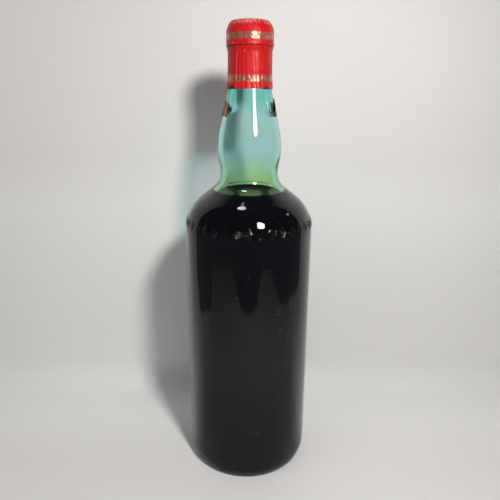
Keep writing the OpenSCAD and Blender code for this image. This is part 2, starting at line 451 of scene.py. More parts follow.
def ring_faces(low, high):
    """Faces between two rings, where a ring may be one point or have a multiple of the other's points."""
    if len(low) == 1 or len(high) == 1:
        tip, ring = (low[0], high) if len(low) == 1 else (high[0], low)
        pairs = [(ring[i], ring[(i + 1) % len(ring)]) for i in range(len(ring))]
        return [(tip, b, a) if len(low) == 1 else (a, b, tip) for a, b in pairs]
    few, many = (low, high) if len(low) <= len(high) else (high, low)
    ratio = len(many) // len(few)
    faces = []
    for i in range(len(few)):
        pair = [few[i], few[(i + 1) % len(few)]]
        fan = [many[(i * ratio + k) % len(many)] for k in range(ratio + 1)]
        faces.append([*pair, *reversed(fan)] if few is low else [*fan, *reversed(pair)])
    return faces


def new_piece(name, points, faces, materials=()):
    """An object at the origin with a smooth mesh."""
    mesh = bpy.data.meshes.new(name)
    mesh.from_pydata([tuple(point) for point in points], [], [tuple(face) for face in faces])
    for material in materials:
        mesh.materials.append(material)
    mesh.validate()
    mesh.shade_smooth()
    piece = bpy.data.objects.new(name, mesh)
    bpy.context.scene.collection.objects.link(piece)
    return piece


def turned(name, rows, angle_at=lambda share: math.tau * share):
    """A closed piece turned round the axis from rows that start and end on it."""
    points = []
    rings = []
    for row in rows:
        if row.radius < SAME_PLACE:
            rings.append([len(points)])
            points.append(Vector((0, 0, row.height)))
            continue
        rings.append(range(len(points), len(points) + row.columns))
        points += [round_point(angle_at(i / row.columns), row.radius, row.height) for i in range(row.columns)]
    faces = []
    for low, high in zip(rings, rings[1:]):
        faces += ring_faces(low, high)
    return new_piece(name, points, faces)


def wrapped(name, surface, columns, rows, thickness, ring):
    """A closed sheet over a grid. surface(u, v) gives a point, its outward normal and its push.

    The outer skin lies on the surface and the inner skin under it by the thickness. Each point keeps the
    outer point as rest, the push as push and whether it is on the inner skin as inside."""
    count = columns if ring else columns + 1
    outer, inner, rests, pushes = [], [], [], []
    for i in range(count):
        for j in range(rows + 1):
            point, normal, push = surface(i / columns, j / rows)
            outer.append(point)
            inner.append(point - normal * thickness)
            rests.append(point)
            pushes.append(push)
    under = len(outer)

    def at(i, j):
        return (i % count) * (rows + 1) + j

    faces = []
    for i in range(columns):
        for j in range(rows):
            a, b, c, d = at(i, j), at(i + 1, j), at(i + 1, j + 1), at(i, j + 1)
            faces.append((a, b, c, d))
            faces.append((under + d, under + c, under + b, under + a))
        a, b = at(i, 0), at(i + 1, 0)
        faces.append((b, a, under + a, under + b))
        a, b = at(i, rows), at(i + 1, rows)
        faces.append((a, b, under + b, under + a))
    if not ring:
        for j in range(rows):
            a, b = at(0, j), at(0, j + 1)
            faces.append((a, b, under + b, under + a))
            a, b = at(columns, j), at(columns, j + 1)
            faces.append((b, a, under + a, under + b))
    piece = new_piece(name, outer + inner, faces)
    mesh = piece.data
    keep_vectors(mesh, "rest", rests * 2)
    keep_vectors(mesh, "push", pushes * 2)
    keep_values(mesh, "inside", [0.0] * under + [1.0] * under)
    return piece


def keep_values(mesh, name, values):
    """Stores a number for each point of the mesh."""
    layer = mesh.attributes.new(name, "FLOAT", "POINT")
    layer.data.foreach_set("value", values)


def keep_vectors(mesh, name, vectors):
    """Stores a vector for each point of the mesh."""
    layer = mesh.attributes.new(name, "FLOAT_VECTOR", "POINT")
    layer.data.foreach_set("vector", [x for vector in vectors for x in vector])


def closed_poles(piece):
    """Merges the points that lie together at a pole."""
    work = bmesh.new()
    work.from_mesh(piece.data)
    bmesh.ops.remove_doubles(work, verts=work.verts, dist=SAME_PLACE)
    bmesh.ops.dissolve_degenerate(work, edges=work.edges, dist=SAME_PLACE)
    work.to_mesh(piece.data)
    work.free()
    return piece


def without(piece, *names):
    """Drops the attributes that only the making needed."""
    for name in names:
        layer = piece.data.attributes.get(name)
        if layer:
            piece.data.attributes.remove(layer)
    return piece


# Shader groups that several materials share

def dust_group():
    """Specks of dust and faint rubbed patches."""
    tree, rule, start, end = effect_tree(
        "Dust and rub", {"Speck scale": 900.0, "Speck share": 0.08, "Rub scale": 60.0}, ["Specks", "Rub"])
    place = start["Place"]
    near = rule.cells(place, start["Speck scale"])
    patch = rule.noise(place, start["Rub scale"], 3.0)
    size = rule.product(start["Speck share"], rule.step(patch, 0.45, 0.75))
    rule.feed(end["Specks"], rule.step(near, size, rule.product(size, 0.55)))
    streak = rule.noise(rule.vector("MULTIPLY", place, (1.0, 1.0, 0.25)), start["Rub scale"], 5.0, 0.65)
    rule.feed(end["Rub"], rule.step(streak, 0.50, 0.78))
    return tree


def grain_group():
    """Fine grain at two sizes, as a value round a half and as a height."""
    tree, rule, start, end = effect_tree("Fine grain", {"Scale": 800.0, "Stretch": 1.0}, ["Grain", "Height"])
    place = rule.vector("MULTIPLY", start["Place"], rule.joined(1.0, 1.0, start["Stretch"]))
    coarse = rule.noise(place, start["Scale"], 4.0, 0.6)
    fine = rule.noise(place, rule.product(start["Scale"], 3.7), 2.0, 0.6)
    rule.feed(end["Grain"], coarse)
    rule.feed(end["Height"], rule.total(rule.product(coarse, 0.7), rule.product(fine, 0.3)))
    return tree


def wear_group():
    """Wear that follows raised creases, broken up by noise."""
    tree, rule, start, end = effect_tree("Crease wear", {"Crease": 0.0, "Wear": 0.3}, ["Worn"])
    broken = rule.noise(start["Place"], 520.0, 3.0, 0.65)
    both = rule.total(rule.product(start["Crease"], 0.55), rule.product(broken, 0.6))
    limit = rule.less(start["Wear"])
    edge = 0.12
    rule.feed(end["Worn"], rule.step(both, limit, rule.total(limit, edge)))
    return tree


SHARED = {}


def shared(name):
    """The shader group of that name, built once."""
    makers = {"dust": dust_group, "grain": grain_group, "wear": wear_group}
    if name not in SHARED:
        SHARED[name] = makers[name]()
    return SHARED[name]


# Materials

def shaded(tone, by):
    """The colour times a number."""
    return [by * part for part in tone]


def new_material(name):
    """A material with its rule, its shader and Object coordinates."""
    material = bpy.data.materials.new(name)
    material.use_nodes = True
    rule = Rule(material.node_tree)
    shader = material.node_tree.nodes["Principled BSDF"]
    place = rule.node("ShaderNodeTexCoord").outputs["Object"]
    return material, rule, shader, place


def bumped(rule, shader, height, distance, strength=1.0):
    """Feeds a height to the shader's normal."""
    bump = rule.node("ShaderNodeBump")
    bump.inputs["Strength"].default_value = strength
    bump.inputs["Distance"].default_value = distance
    rule.feed(bump.inputs["Height"], height)
    rule.feed(shader.inputs["Normal"], bump.outputs[0])


def part_clear(rule, shader, share, tint=(1.0, 1.0, 1.0)):
    """Mixes the shader with a clear one by the share, and joins the mix to the material's output."""
    clear = rule.node("ShaderNodeBsdfTransparent")
    rule.feed(clear.inputs[0], tint)
    both = rule.node("ShaderNodeMixShader")
    for socket, value in zip(both.inputs, (share, shader.outputs[0], clear.outputs[0])):
        rule.feed(socket, value)
    rule.feed(rule.tree.nodes["Material Output"].inputs["Surface"], both.outputs[0])


def green_glass():
    """Clear glass, tinted by its depth and greener low in the neck, with dust, seeds and drawn waves."""
    finish = bpy.context.scene.bottle_finishes
    material, rule, shader, place = new_material("Green glass")
    height = rule.split(place)[2]
    cloud = rule.noise(place, 55.0, 2.0)
    drift = 12 * MM
    level = rule.total(height, rule.swing(cloud, drift))
    green_foot, green_top = 188 * MM, 213 * MM
    upper = rule.step(level, green_foot, green_top)
    tint = rule.mix(upper, finish.glass_low, finish.glass_high)
    dust = rule.group(shared("dust"), place=place, speck_scale=420.0, speck_share=0.16, rub_scale=45.0)
    dusty = rule.mix(rule.product(dust["Specks"], 0.5), tint, (0.75, 0.77, 0.74))
    rule.feed(shader.inputs["Base Color"], dusty)
    rule.feed(shader.inputs["Roughness"], rule.total(
        rule.product(dust["Specks"], 0.5), rule.product(dust["Rub"], 0.025)))
    shader.inputs["Metallic"].default_value = 0.0
    shader.inputs["Transmission Weight"].default_value = 1.0
    shader.inputs["IOR"].default_value = 1.52
    drawn = rule.noise(rule.vector("MULTIPLY", place, (1.0, 1.0, 0.4)), 230.0, 2.0)
    seeds = rule.step(rule.cells(place, 125.0), 0.045, 0.0)
    bumped(rule, shader, rule.total(rule.product(drawn, 0.8), seeds), 0.060 * MM, 1.0)

    # Lamps shine through as tinted light, so that the shadow is clear and coloured above the wine
    empty = rule.step(height, WINE_TOP.z - 12 * MM, WINE_TOP.z + 4 * MM)
    over_wine = (0.10, 0.12, 0.11)
    shadow = rule.node("ShaderNodeLightPath").outputs["Is Shadow Ray"]
    part_clear(rule, shader, shadow, rule.mix(empty, over_wine, finish.glass_shade))
    depth = rule.node("ShaderNodeVolumeAbsorption")
    rule.feed(depth.inputs["Color"], finish.glass_body)
    depth.inputs["Density"].default_value = finish.glass_depth
    rule.feed(rule.tree.nodes["Material Output"].inputs["Volume"], depth.outputs[0])
    return material


def wine_against_glass():
    """Nearly black wine, a little paler in the lees at the foot."""
    finish = bpy.context.scene.bottle_finishes
    material, rule, shader, place = new_material("Dark wine")
    cloud = rule.noise(place, 30.0, 3.0)
    lees = rule.product(rule.step(rule.split(place)[2], 0.022, 0.006), rule.step(cloud, 0.4, 0.7))
    deep = rule.mix(cloud, finish.wine, (0.0032, 0.0016, 0.0018))
    rule.feed(shader.inputs["Base Color"], rule.mix(lees, deep, (0.012, 0.004, 0.004)))
    shader.inputs["Specular IOR Level"].default_value = 0.0
    shader.inputs["Roughness"].default_value = 1.0
    return material


def wine_surface():
    """The top of the wine: a rim painted paler, as light shining through thin wine, and a gloss in the middle
    and at both sides.
    """
    material, rule, shader, place = new_material("Wine surface")
    x, y, z = rule.split(place)
    # Painted light: the rim that climbs the glass is painted amber, as light shining through the thin wine
    rim = rule.step(z, WINE_TOP.z + 1.1 * MM, WINE_TOP.z + 1.6 * MM)
    cloud = rule.noise(place, 120.0, 2.0)
    edge = rule.mix(cloud, (0.010, 0.005, 0.003), (0.022, 0.010, 0.004))
    deep = (0.0012, 0.0011, 0.0013)
    rule.feed(shader.inputs["Base Color"], rule.mix(rim, deep, edge))
    shader.inputs["IOR"].default_value = 1.03
    rule.feed(shader.inputs["Roughness"], rule.product(cloud, 0.02))
    drift = rule.swing(cloud, 7 * MM)
    half_width, half_depth, nearer = 8.5 * MM, 8 * MM, 3 * MM
    across = rule.over(rule.total(x, drift), half_width)
    along = rule.over(rule.total(y, nearer, drift), half_depth)
    off = rule.reach(across, along)
    middle = rule.step(off, 1.15, 0.85, 0.0, 0.75)
    left = rule.step(x, -half_width, -11 * MM, 0.0, 0.55)
    right = rule.step(x, 11 * MM, 14 * MM, 0.04, 0.30)
    rule.feed(shader.inputs["Coat Weight"], rule.most(middle, left, right))
    shader.inputs["Coat Roughness"].default_value = 0.02
    return material


def red_foil():
    """Red lacquer with two printed bands, paler dots on the crown's top, worn along creases, with painted
    shade at the skirt's hem and cut.
    """
    finish = bpy.context.scene.bottle_finishes
    sizes = bpy.context.scene.foil_sizes
    material, rule, shader, place = new_material("Red foil")
    height = rule.split(place)[2]
    level = rule.total(height, rule.swing(rule.noise(place, 180.0, 2.0), 0.25 * MM))
    blur = 0.08 * MM
    half = sizes.band_height / 2
    bands = []
    for middle in (CROWN_LOW.z + sizes.upper_band, SKIRT_LOW.z + sizes.lower_band):
        bands.append(rule.step(rule.apart(level, middle), half + blur, half - blur))
    band = rule.most(*bands)
    crease = rule.kept("crease")
    worn = rule.group(shared("wear"), place=place, crease=crease, wear=0.15)["Worn"]
    grain = rule.group(shared("grain"), place=place, scale=700.0, stretch=0.6)
    lacquer = rule.mix(grain["Grain"], shaded(finish.foil_red, 0.72), shaded(finish.foil_red, 1.2))
    # Paler pinkish dots on the crown's upper round
    pale_dots = rule.step(rule.noise(place, 1100.0, 1.0), 0.46, 0.60)
    pale_dots = rule.product(pale_dots, rule.step(height, CROWN_TOP.z - 3.6 * MM, CROWN_TOP.z - 1.4 * MM), 0.60)
    lacquer = rule.mix(pale_dots, lacquer, (0.70, 0.36, 0.32))
    tall = rule.vector("MULTIPLY", place, (1.0, 1.0, 0.07))
    streak = rule.noise(tall, 560.0, 3.0)
    gilt = rule.mix(rule.step(streak, 0.35, 0.65), shaded(finish.foil_band, 0.70), finish.foil_band)
    printed = rule.mix(band, lacquer, gilt)
    printed = rule.mix(rule.product(worn, 0.7), printed, finish.foil_bare)
    # Painted shade, near black, where the hem lifts off the glass and just under the cut; the metal and coat
    # are left off there too
    painted_shade = rule.step(rule.kept("painted_shade"), 0.35, 0.65)
    rule.feed(shader.inputs["Base Color"], rule.mix(painted_shade, printed, (0.010, 0.016, 0.013)))
    bare = rule.most(rule.product(band, 0.62), rule.product(worn, 0.8))
    unshaded = rule.less(painted_shade)
    rule.feed(shader.inputs["Metallic"], rule.product(rule.step(bare, 0.0, 1.0, 0.12, 0.95), unshaded))
    lustre = rule.total(rule.step(band, 0.0, 1.0, 0.40, 0.20), rule.product(grain["Grain"], 0.16))
    rule.feed(shader.inputs["Roughness"], lustre)
    rule.feed(shader.inputs["Coat Weight"], rule.product(rule.step(worn, 0.0, 1.0, 0.16, 0.0), unshaded))
    shader.inputs["Coat Roughness"].default_value = 0.11
    tiny = rule.cells(rule.vector("MULTIPLY", place, (1.0, 1.0, 0.6)), 1500.0)
    folds = rule.product(streak, rule.step(height, CROWN_LOW.z, CROWN_LOW.z - 2 * MM), 1.6)
    bumped(rule, shader, rule.total(grain["Height"], rule.product(tiny, 0.5), folds), 0.12 * MM, 0.8)
    return material


def foil_inside():
    """Bare metal, dulled in patches."""
    finish = bpy.context.scene.bottle_finishes
    material, rule, shader, place = new_material("Inside of the foil")
    grain = rule.group(shared("grain"), place=place, scale=500.0, stretch=0.5)
    dust = rule.group(shared("dust"), place=place, speck_scale=600.0, speck_share=0.2, rub_scale=90.0)
    dull = rule.mix(grain["Grain"], shaded(finish.foil_bare, 0.6), finish.foil_bare)
    rule.feed(shader.inputs["Base Color"], rule.mix(rule.product(dust["Rub"], 0.5), dull, (0.20, 0.11, 0.07)))
    shader.inputs["Metallic"].default_value = 0.9
    rule.feed(shader.inputs["Roughness"], rule.total(0.35, rule.product(grain["Grain"], 0.2)))
    bumped(rule, shader, grain["Height"], 0.1 * MM, 0.6)
    return material


def cork_bark():
    """Bark with dark streaks and pores, stained by the wine at its foot."""
    finish = bpy.context.scene.bottle_finishes
    material, rule, shader, place = new_material("Cork bark")
    height = rule.split(place)[2]
    grain = rule.group(shared("grain"), place=place, scale=420.0, stretch=1.0)
    streak = rule.noise(rule.vector("MULTIPLY", place, (1.0, 0.35, 1.0)), 260.0, 4.0, 0.7)
    pores = rule.step(rule.cells(rule.vector("MULTIPLY", place, (1.0, 0.5, 1.0)), 520.0), 0.30, 0.12)
    pores = rule.product(pores, rule.step(streak, 0.45, 0.62))
    pale = rule.mix(grain["Grain"], shaded(finish.cork, 0.75), shaded(finish.cork, 1.25))
    bark = rule.mix(rule.step(streak, 0.50, 0.72), pale, (0.16, 0.075, 0.03))
    bark = rule.mix(pores, bark, (0.045, 0.020, 0.010))
    soak = rule.total(height, rule.swing(streak, 9 * MM))
    stain = rule.step(soak, CORK_LOW.z + 5 * MM, CORK_LOW.z + 1 * MM)
    stained = rule.mix(stain, bark, finish.cork_stain)
    rule.feed(shader.inputs["Base Color"], stained)
    rule.feed(shader.inputs["Roughness"], rule.total(0.6, rule.product(grain["Grain"], 0.25)))
    depth = rule.minus(grain["Height"], rule.product(pores, 0.8))
    bumped(rule, shader, depth, 0.25 * MM, 0.8)
    return material


def old_paper():
    """Brown paper with fibres, stains, a frayed edge and glue on its inner face."""
    finish = bpy.context.scene.bottle_finishes
    material, rule, shader, place = new_material("Old paper")
    grain = rule.group(shared("grain"), place=place, scale=600.0, stretch=0.35)
    cross = rule.group(shared("grain"), place=place, scale=900.0, stretch=2.4)
    stain = rule.noise(place, 260.0, 4.0, 0.65)
    torn = rule.kept("torn")
    inside = rule.kept("inside")
    face = rule.mix(grain["Grain"], shaded(finish.paper, 0.7), shaded(finish.paper, 1.35))
    face = rule.mix(rule.step(stain, 0.50, 0.66), face, (0.075, 0.040, 0.022))
    frayed = rule.step(rule.total(torn, rule.product(cross["Grain"], 0.5)), 0.95, 1.15)
    face = rule.mix(frayed, face, finish.paper_core)
    glue = rule.mix(cross["Grain"], (0.05, 0.035, 0.022), (0.12, 0.08, 0.05))
    rule.feed(shader.inputs["Base Color"], rule.mix(rule.step(inside, 0.4, 0.6), face, glue))
    rule.feed(shader.inputs["Roughness"], rule.total(0.7, rule.product(grain["Grain"], 0.25)))
    shader.inputs["Specular IOR Level"].default_value = 0.25
    bumped(rule, shader, rule.total(grain["Height"], cross["Height"]), 0.06 * MM, 0.8)
    return material


def sweep_paper():
    """Pale paper, which some light paths see darker or don't see."""
    finish = bpy.context.scene.bottle_finishes
    material, rule, shader, place = new_material("Pale sweep")
    cloud = rule.noise(place, 14.0, 2.0)
    tone = rule.mix(cloud, shaded(finish.sweep, 0.985), shaded(finish.sweep, 1.015))

    # Painted light: the foot of the wall and the floor beside it are painted paler, as if more light fell
    # there
    x, y, z = rule.split(place)
    foot = rule.product(rule.step(z, 0.205, 0.150), rule.step(y, -0.035, 0.04), 0.50)
    tone = rule.mix(foot, tone, (1.0, 1.0, 1.0))

    # Painted shade in reflections: the glass mirrors a floor painted darker and bluer in front and near, and
    # that ends at the cut outline
    path = rule.node("ShaderNodeLightPath").outputs
    front = rule.step(y, -0.045, -0.10, 0.0, 0.38)
    off = rule.reach(x, y, z)
    near = rule.product(rule.step(off, 0.33, 0.06, 0.0, 0.56), rule.step(y, 0.02, -0.04))
    dim = rule.product(rule.most(front, near), path["Is Glossy Ray"])
    mirrored_dark = (0.06, 0.07, 0.14)
    rule.feed(shader.inputs["Base Color"], rule.mix(dim, tone, mirrored_dark))
    shader.inputs["Roughness"].default_value = 0.75
    shader.inputs["Specular IOR Level"].default_value = 0.2
    past_cut = rule.kept("past_cut")
    unseen = rule.product(past_cut, rule.most(path["Is Glossy Ray"], path["Is Diffuse Ray"]))
    behind = rule.node("ShaderNodeNewGeometry").outputs["Backfacing"]
    part_clear(rule, shader, rule.most(unseen, behind))
    return material


# The glass

Stations = namedtuple("Stations", "waist bulb neck slope lip mouth")


def shoulder_places(s):
    """Centres of the shoulder's two curves: the outer one and the hollow root."""
    shoulder_z = s.heel_height + s.side_height
    rise = (s.shoulder_round + s.root_round) * math.sin(s.shoulder_turn)
    run = (s.shoulder_round + s.root_round) * (1 - math.cos(s.shoulder_turn))
    slope = (s.body_radius - s.waist_radius - run) / math.sin(s.shoulder_turn)
    waist_z = shoulder_z + rise + slope * math.cos(s.shoulder_turn)
    return (s.body_radius - s.shoulder_round, shoulder_z), (s.waist_radius + s.root_round, waist_z)


def stations(s):
    """Heights of the parts of the neck, from the waist up to the mouth."""
    heights = [shoulder_places(s)[1][1]]
    for rise in (s.bulb_rise, s.taper_height, s.neck_height, s.lip_slope, s.lip_height):
        heights.append(heights[-1] + rise)
    if abs(heights[-1] - GLASS_TOP.z) > 0.05 * MM:
        raise RuntimeError("the neck's sizes don't add up to the height of the glass")
    return Stations(*heights)


def dome(s, radius, z, steps):
    """Points on the dome of the punt or of the floor above it, from the axis outwards."""
    shares = [i / steps for i in range(steps + 1)]
    return [(radius * x, z + s.punt_height * (1 - ease(x))) for x in shares]


def outer_stretches(s):
    """The outer surface from the top of the punt to the land round the mouth."""
    # Columns of plain stretches, of the bars under the foot and of the lozenges
    coarse, barred, fine = 200, 600, 1200
    at = stations(s)
    shoulder, root = shoulder_places(s)
    punt_radius = s.bearing_radius - s.bearing_width
    heel_width = s.body_radius - s.bearing_radius
    lip_radius = s.neck_radius + s.lip_proud
    edge_width = lip_radius - s.bore_radius - s.mouth_chamfer - s.mouth_land
    half = s.lozenge_height / 2 + 0.5 * MM
    first = (s.band_climb - half) / s.shoulder_round
    last = (s.band_climb + half) / s.shoulder_round
    up = math.pi / 2

    def on_shoulder(start, end, steps):
        return arc(shoulder, s.shoulder_round, s.shoulder_round, start, end, steps)

    return [
        (dome(s, punt_radius, 0, 18), coarse),
        (straight(punt_radius, 0, s.bearing_radius, 0, 5), barred),
        (arc((s.bearing_radius, s.heel_height), heel_width, s.heel_height, -up, 0, 22)[1:], coarse),
        (straight(s.body_radius, s.heel_height, *on_shoulder(0, 0, 1)[0], 20), coarse),
        (on_shoulder(0, first * 0.9, 4), coarse),
        (on_shoulder(first, last, 38), fine),
        (on_shoulder(last + first * 0.1, s.shoulder_turn, 14), coarse),
        (arc(root, s.root_round, s.root_round, math.pi + s.shoulder_turn, math.pi, 12), coarse),
        (eased(s.waist_radius, at.waist, s.bulb_radius, at.bulb, 14), coarse),
        (eased(s.bulb_radius, at.bulb, s.neck_radius, at.neck, 28), coarse),
        (straight(s.neck_radius, at.neck, s.neck_radius, at.slope, 4), coarse),
        (straight(s.neck_radius, at.slope, lip_radius, at.lip, 3), coarse),
        (arc((lip_radius - edge_width, at.mouth - s.lip_edge), edge_width, s.lip_edge, 0, up, 12), coarse),
        ([(s.bore_radius + s.mouth_chamfer, at.mouth)], coarse),
    ]


def glass_radius(s, z):
    """Radius of the glass at a height between the waist and the lip."""
    at = stations(s)
    if z < at.bulb:
        return s.waist_radius + (s.bulb_radius - s.waist_radius) * ease((z - at.waist) / s.bulb_rise)
    if z < at.neck:
        return s.bulb_radius + (s.neck_radius - s.bulb_radius) * ease((z - at.bulb) / s.taper_height)
    return s.neck_radius + s.lip_proud * min(1, max(0, z - at.slope) / s.lip_slope)


def neck_inside(s, grow):
    """Points on the inner surface from the waist to the bore. The wall is thinnest in the bulb."""
    steps = 36
    closes_over = 16 * MM
    waist = stations(s).waist
    bore = stations(s).mouth - s.bore_depth
    points = []
    for i in range(steps + 1):
        z = waist + (bore - waist) * i / steps
        wall = s.wall + (s.neck_wall - s.wall) * ease(min(1, (z - waist) / s.bulb_rise))
        closing = ease(max(0, 1 - (bore - z) / closes_over))
        radius = glass_radius(s, z) - wall + grow
        points.append((radius + (s.bore_radius - radius) * closing, z))
    return points


def inner_stretches(s, grow=0.0, lift=0.0):
    """The inner surface up to the mouth of the bore, grown into the glass, with its floor lifted."""
    coarse, plain = 200, 100
    mouth = stations(s).mouth
    inset = s.wall - grow
    radius = s.body_radius - inset
    hollow = s.root_round + inset
    shoulder, root = shoulder_places(s)
    moat = s.bearing_radius - s.bearing_width / 2
    floor_z = s.floor_thickness + lift
    up = math.pi / 2
    return [
        (dome(s, moat, floor_z, 14), plain),
        (arc((moat, s.heel_height), radius - moat, s.heel_height - floor_z, -up, 0, 10), plain),
        (straight(radius, s.heel_height, radius, shoulder[1], 10), plain),
        (arc(shoulder, s.shoulder_round - inset, s.shoulder_round - inset, 0, s.shoulder_turn, 16), coarse),
        (arc(root, hollow, hollow, math.pi + s.shoulder_turn, math.pi, 10), coarse),
        (neck_inside(s, grow), coarse),
        (straight(s.bore_radius, mouth - s.bore_depth, s.bore_radius, mouth - s.mouth_chamfer, 5), coarse),
    ]


def seam_turn(share):
    """The angle of a column. The columns beside the two mould seams are drawn in towards them."""
    angle = math.tau * share
    off = math.remainder(angle - math.pi / 2, math.pi)
    reach = math.radians(1.5)
    closer = 0.3
    if abs(off) >= 2 * reach:
        return angle
    pulled = closer * min(abs(off), reach) + (2 - closer) * max(0, abs(off) - reach)
    return angle - off + math.copysign(pulled, off)


def glass_tree():
    """Raises the lozenges, the mould seams and the bearing bars from a plain glass, and makes it uneven."""
    tree, rule, start, end = shape_tree("Pressed glass", {
        "Lozenges": 36.0, "Lozenge width": 0.005, "Lozenge height": 0.0064, "Line": 0.0008, "Proud": 0.0003,
        "Band climb": 0.0062, "Curve radius": 0.014, "Curve height": 0.163, "Curve round": 0.0266,
        "Bars": 72.0, "Bar depth": 0.0003, "Bearing inner": 0.0305, "Bearing outer": 0.034,
        "Seam": 0.00012, "Outer wave": 0.0, "Inner wave": 0.0, "Base seam height": 0.004}, ["Material"])
    position = rule.node("GeometryNodeInputPosition").outputs[0]
    normal = rule.node("GeometryNodeInputNormal").outputs[0]
    x, y, z = rule.split(position)
    radius = rule.reach(x, y)
    outer = rule.less(named(rule, "inside", "FLOAT"))
    share = rule.share_round(x, y)

    # Lozenge lines with a dot in the middle of each
    place = rule.math("FRACT", rule.total(rule.product(share, start["Lozenges"]), 10.5))
    pitch = rule.over(rule.product(radius, math.tau), start["Lozenges"])
    across = rule.product(rule.apart(place, 0.5), pitch)
    above = rule.minus(z, start["Curve height"])
    lift = rule.math("ARCTAN2", above, rule.minus(radius, start["Curve radius"]))
    along = rule.apart(rule.product(lift, start["Curve round"]), start["Band climb"])
    half_width = rule.product(start["Lozenge width"], 0.5)
    half_height = rule.product(start["Lozenge height"], 0.5)
    diamond = rule.total(rule.over(across, half_width), rule.over(along, half_height))
    line_middle = 0.86
    from_line = rule.product(rule.apart(diamond, line_middle), half_width)
    line = rule.step(from_line, rule.product(start["Line"], 0.62), rule.product(start["Line"], 0.18))
    from_middle = rule.reach(across, along)
    dot = rule.step(from_middle, rule.product(start["Line"], 0.85), rule.product(start["Line"], 0.35))
    on_shoulder = rule.product(outer, rule.step(above, 0.0, MM))
    lozenge = rule.product(rule.most(line, dot), start["Proud"], on_shoulder)

    # Bars across the bearing ring, as hollows between them
    wave = rule.math("COSINE", rule.product(share, start["Bars"], math.tau))
    at_foot = rule.step(z, 0.2 * MM, 0.02 * MM)
    margin = 0.8 * MM
    in_ring = rule.product(
        rule.step(radius, start["Bearing inner"], rule.total(start["Bearing inner"], margin)),
        rule.step(radius, start["Bearing outer"], rule.minus(start["Bearing outer"], margin)))
    hollow = rule.product(rule.step(wave, -0.2, 0.7), start["Bar depth"], at_foot, in_ring, outer, -1.0)

    # Upright mould seams at both sides, and the seam round the heel
    seam_foot, seam_crest = 0.5 * MM, 0.05 * MM
    beside = rule.math("ABSOLUTE", y)
    upright = rule.product(rule.step(beside, seam_foot, seam_crest), rule.step(z, 4 * MM, 6 * MM))
    level = rule.apart(z, start["Base seam height"])
    heel = rule.product(rule.step(level, seam_foot, seam_crest), rule.step(radius, 34 * MM, 36 * MM))
    seam = rule.product(rule.most(upright, heel), start["Seam"], outer)
    relief = rule.most(lozenge, seam)

    # Slow waves in both surfaces, long and upright
    slow = rule.vector("MULTIPLY", position, (1.0, 1.0, 0.35))
    outer_noise = rule.swing(rule.noise(slow, 42.0, 1.0), start["Outer wave"])
    inner_noise = rule.swing(rule.noise(slow, 95.0, 2.0), start["Inner wave"])
    clear_of_foot = rule.step(z, 3 * MM, 12 * MM)
    clear_of_lip = rule.step(z, 258 * MM, 246 * MM)
    waves = rule.total(rule.product(outer_noise, outer), rule.product(inner_noise, rule.less(outer)))
    waves = rule.product(waves, clear_of_foot, clear_of_lip)

    # The outer surface is drawn in by as much as seams and waves stand out, so the size holds
    inset = rule.product(rule.total(start["Seam"], start["Outer wave"]), outer, clear_of_foot)
    height = rule.minus(rule.total(relief, hollow, waves), inset)
    mesh = moved(rule, start["Mesh"], rule.scaled(normal, height))
    finished(rule, mesh, end, [(start["Material"], None)])
    return tree


class BOTTLE_OT_glass(bpy.types.Operator):
    """Makes the glass with its punt, shoulder, waisted neck and lip"""
    bl_idname = "bottle.glass"
    bl_label = "Make the glass"

    def execute(self, context):
        s = context.scene.bottle_sizes
        outer = path_rows(outer_stretches(s))
        inner = list(reversed(path_rows(inner_stretches(s))))
        piece = turned("green_glass_bottle", outer + inner, seam_turn)
        count = sum(1 if row.radius < SAME_PLACE else row.columns for row in outer)
        keep_values(piece.data, "inside", [float(i >= count) for i in range(len(piece.data.vertices))])
        shoulder = shoulder_places(s)[0]
        shaped(piece, glass_tree(), {
            "Lozenges": float(s.lozenges), "Lozenge width": s.lozenge_width,
            "Lozenge height": s.lozenge_height, "Line": s.lozenge_line, "Proud": s.lozenge_proud,
            "Band climb": s.band_climb, "Curve radius": shoulder[0], "Curve height": shoulder[1],
            "Curve round": s.shoulder_round, "Bars": float(s.bearing_bars), "Bar depth": s.bar_depth,
            "Bearing inner": s.bearing_radius - s.bearing_width, "Bearing outer": s.bearing_radius,
            "Seam": s.seam_proud, "Outer wave": s.outer_wave, "Inner wave": s.inner_wave,
            "Base seam height": 0.35 * s.heel_height, "Material": green_glass()})
        without(piece, "inside")
        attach(piece, "bottle")
        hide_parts("bottle_glass")
        return {"FINISHED"}


# The wine

class BOTTLE_OT_wine(bpy.types.Operator):
    """Fills the bottle up to the wine's level, with the rim that climbs the glass"""
    bl_idname = "bottle.wine"
    bl_label = "Pour the wine"

    def execute(self, context):
        s = context.scene.bottle_sizes
        columns = 240
        into_glass = 0.22 * MM
        rim_height = 1.8 * MM
        rim_width = 3.4 * MM
        rim_steps = 14
        rim_hollow = 2.4
        level = WINE_TOP.z - 0.2 * MM
        rim = level + rim_height
        side = []
        for row in path_rows(inner_stretches(s, into_glass, -into_glass)):
            if row.height > rim:
                low = side[-1]
                share = (rim - low.height) / (row.height - low.height)
                side.append(Row(low.radius + (row.radius - low.radius) * share, rim, columns))
                break
            side.append(row._replace(columns=columns))
        edge = side[-1].radius
        top = []
        for i in range(1, rim_steps + 1):
            share = i / rim_steps
            top.append(Row(edge - rim_width * share, level + rim_height * (1 - share) ** rim_hollow, columns))
        top += [Row(edge * share, level, columns) for share in (0.7, 0.4, 0.0)]
        piece = turned("dark_wine_fill", side + top)
        mesh = piece.data
        mesh.materials.append(wine_against_glass())
        mesh.materials.append(wine_surface())
        hair = 1e-6
        for face in mesh.polygons:
            low = min(mesh.vertices[v].co.z for v in face.vertices)
            far = max(mesh.vertices[v].co.xy.length for v in face.vertices)
            on_top = low >= level - hair and (far < edge - hair or face.normal.z > 0.5)
            face.material_index = int(on_top and face.normal.z > 0.2)
        mesh.set_sharp_from_angle(angle=math.radians(60))
        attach(piece, "bottle")
        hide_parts("wine")
        return {"FINISHED"}


# The cork

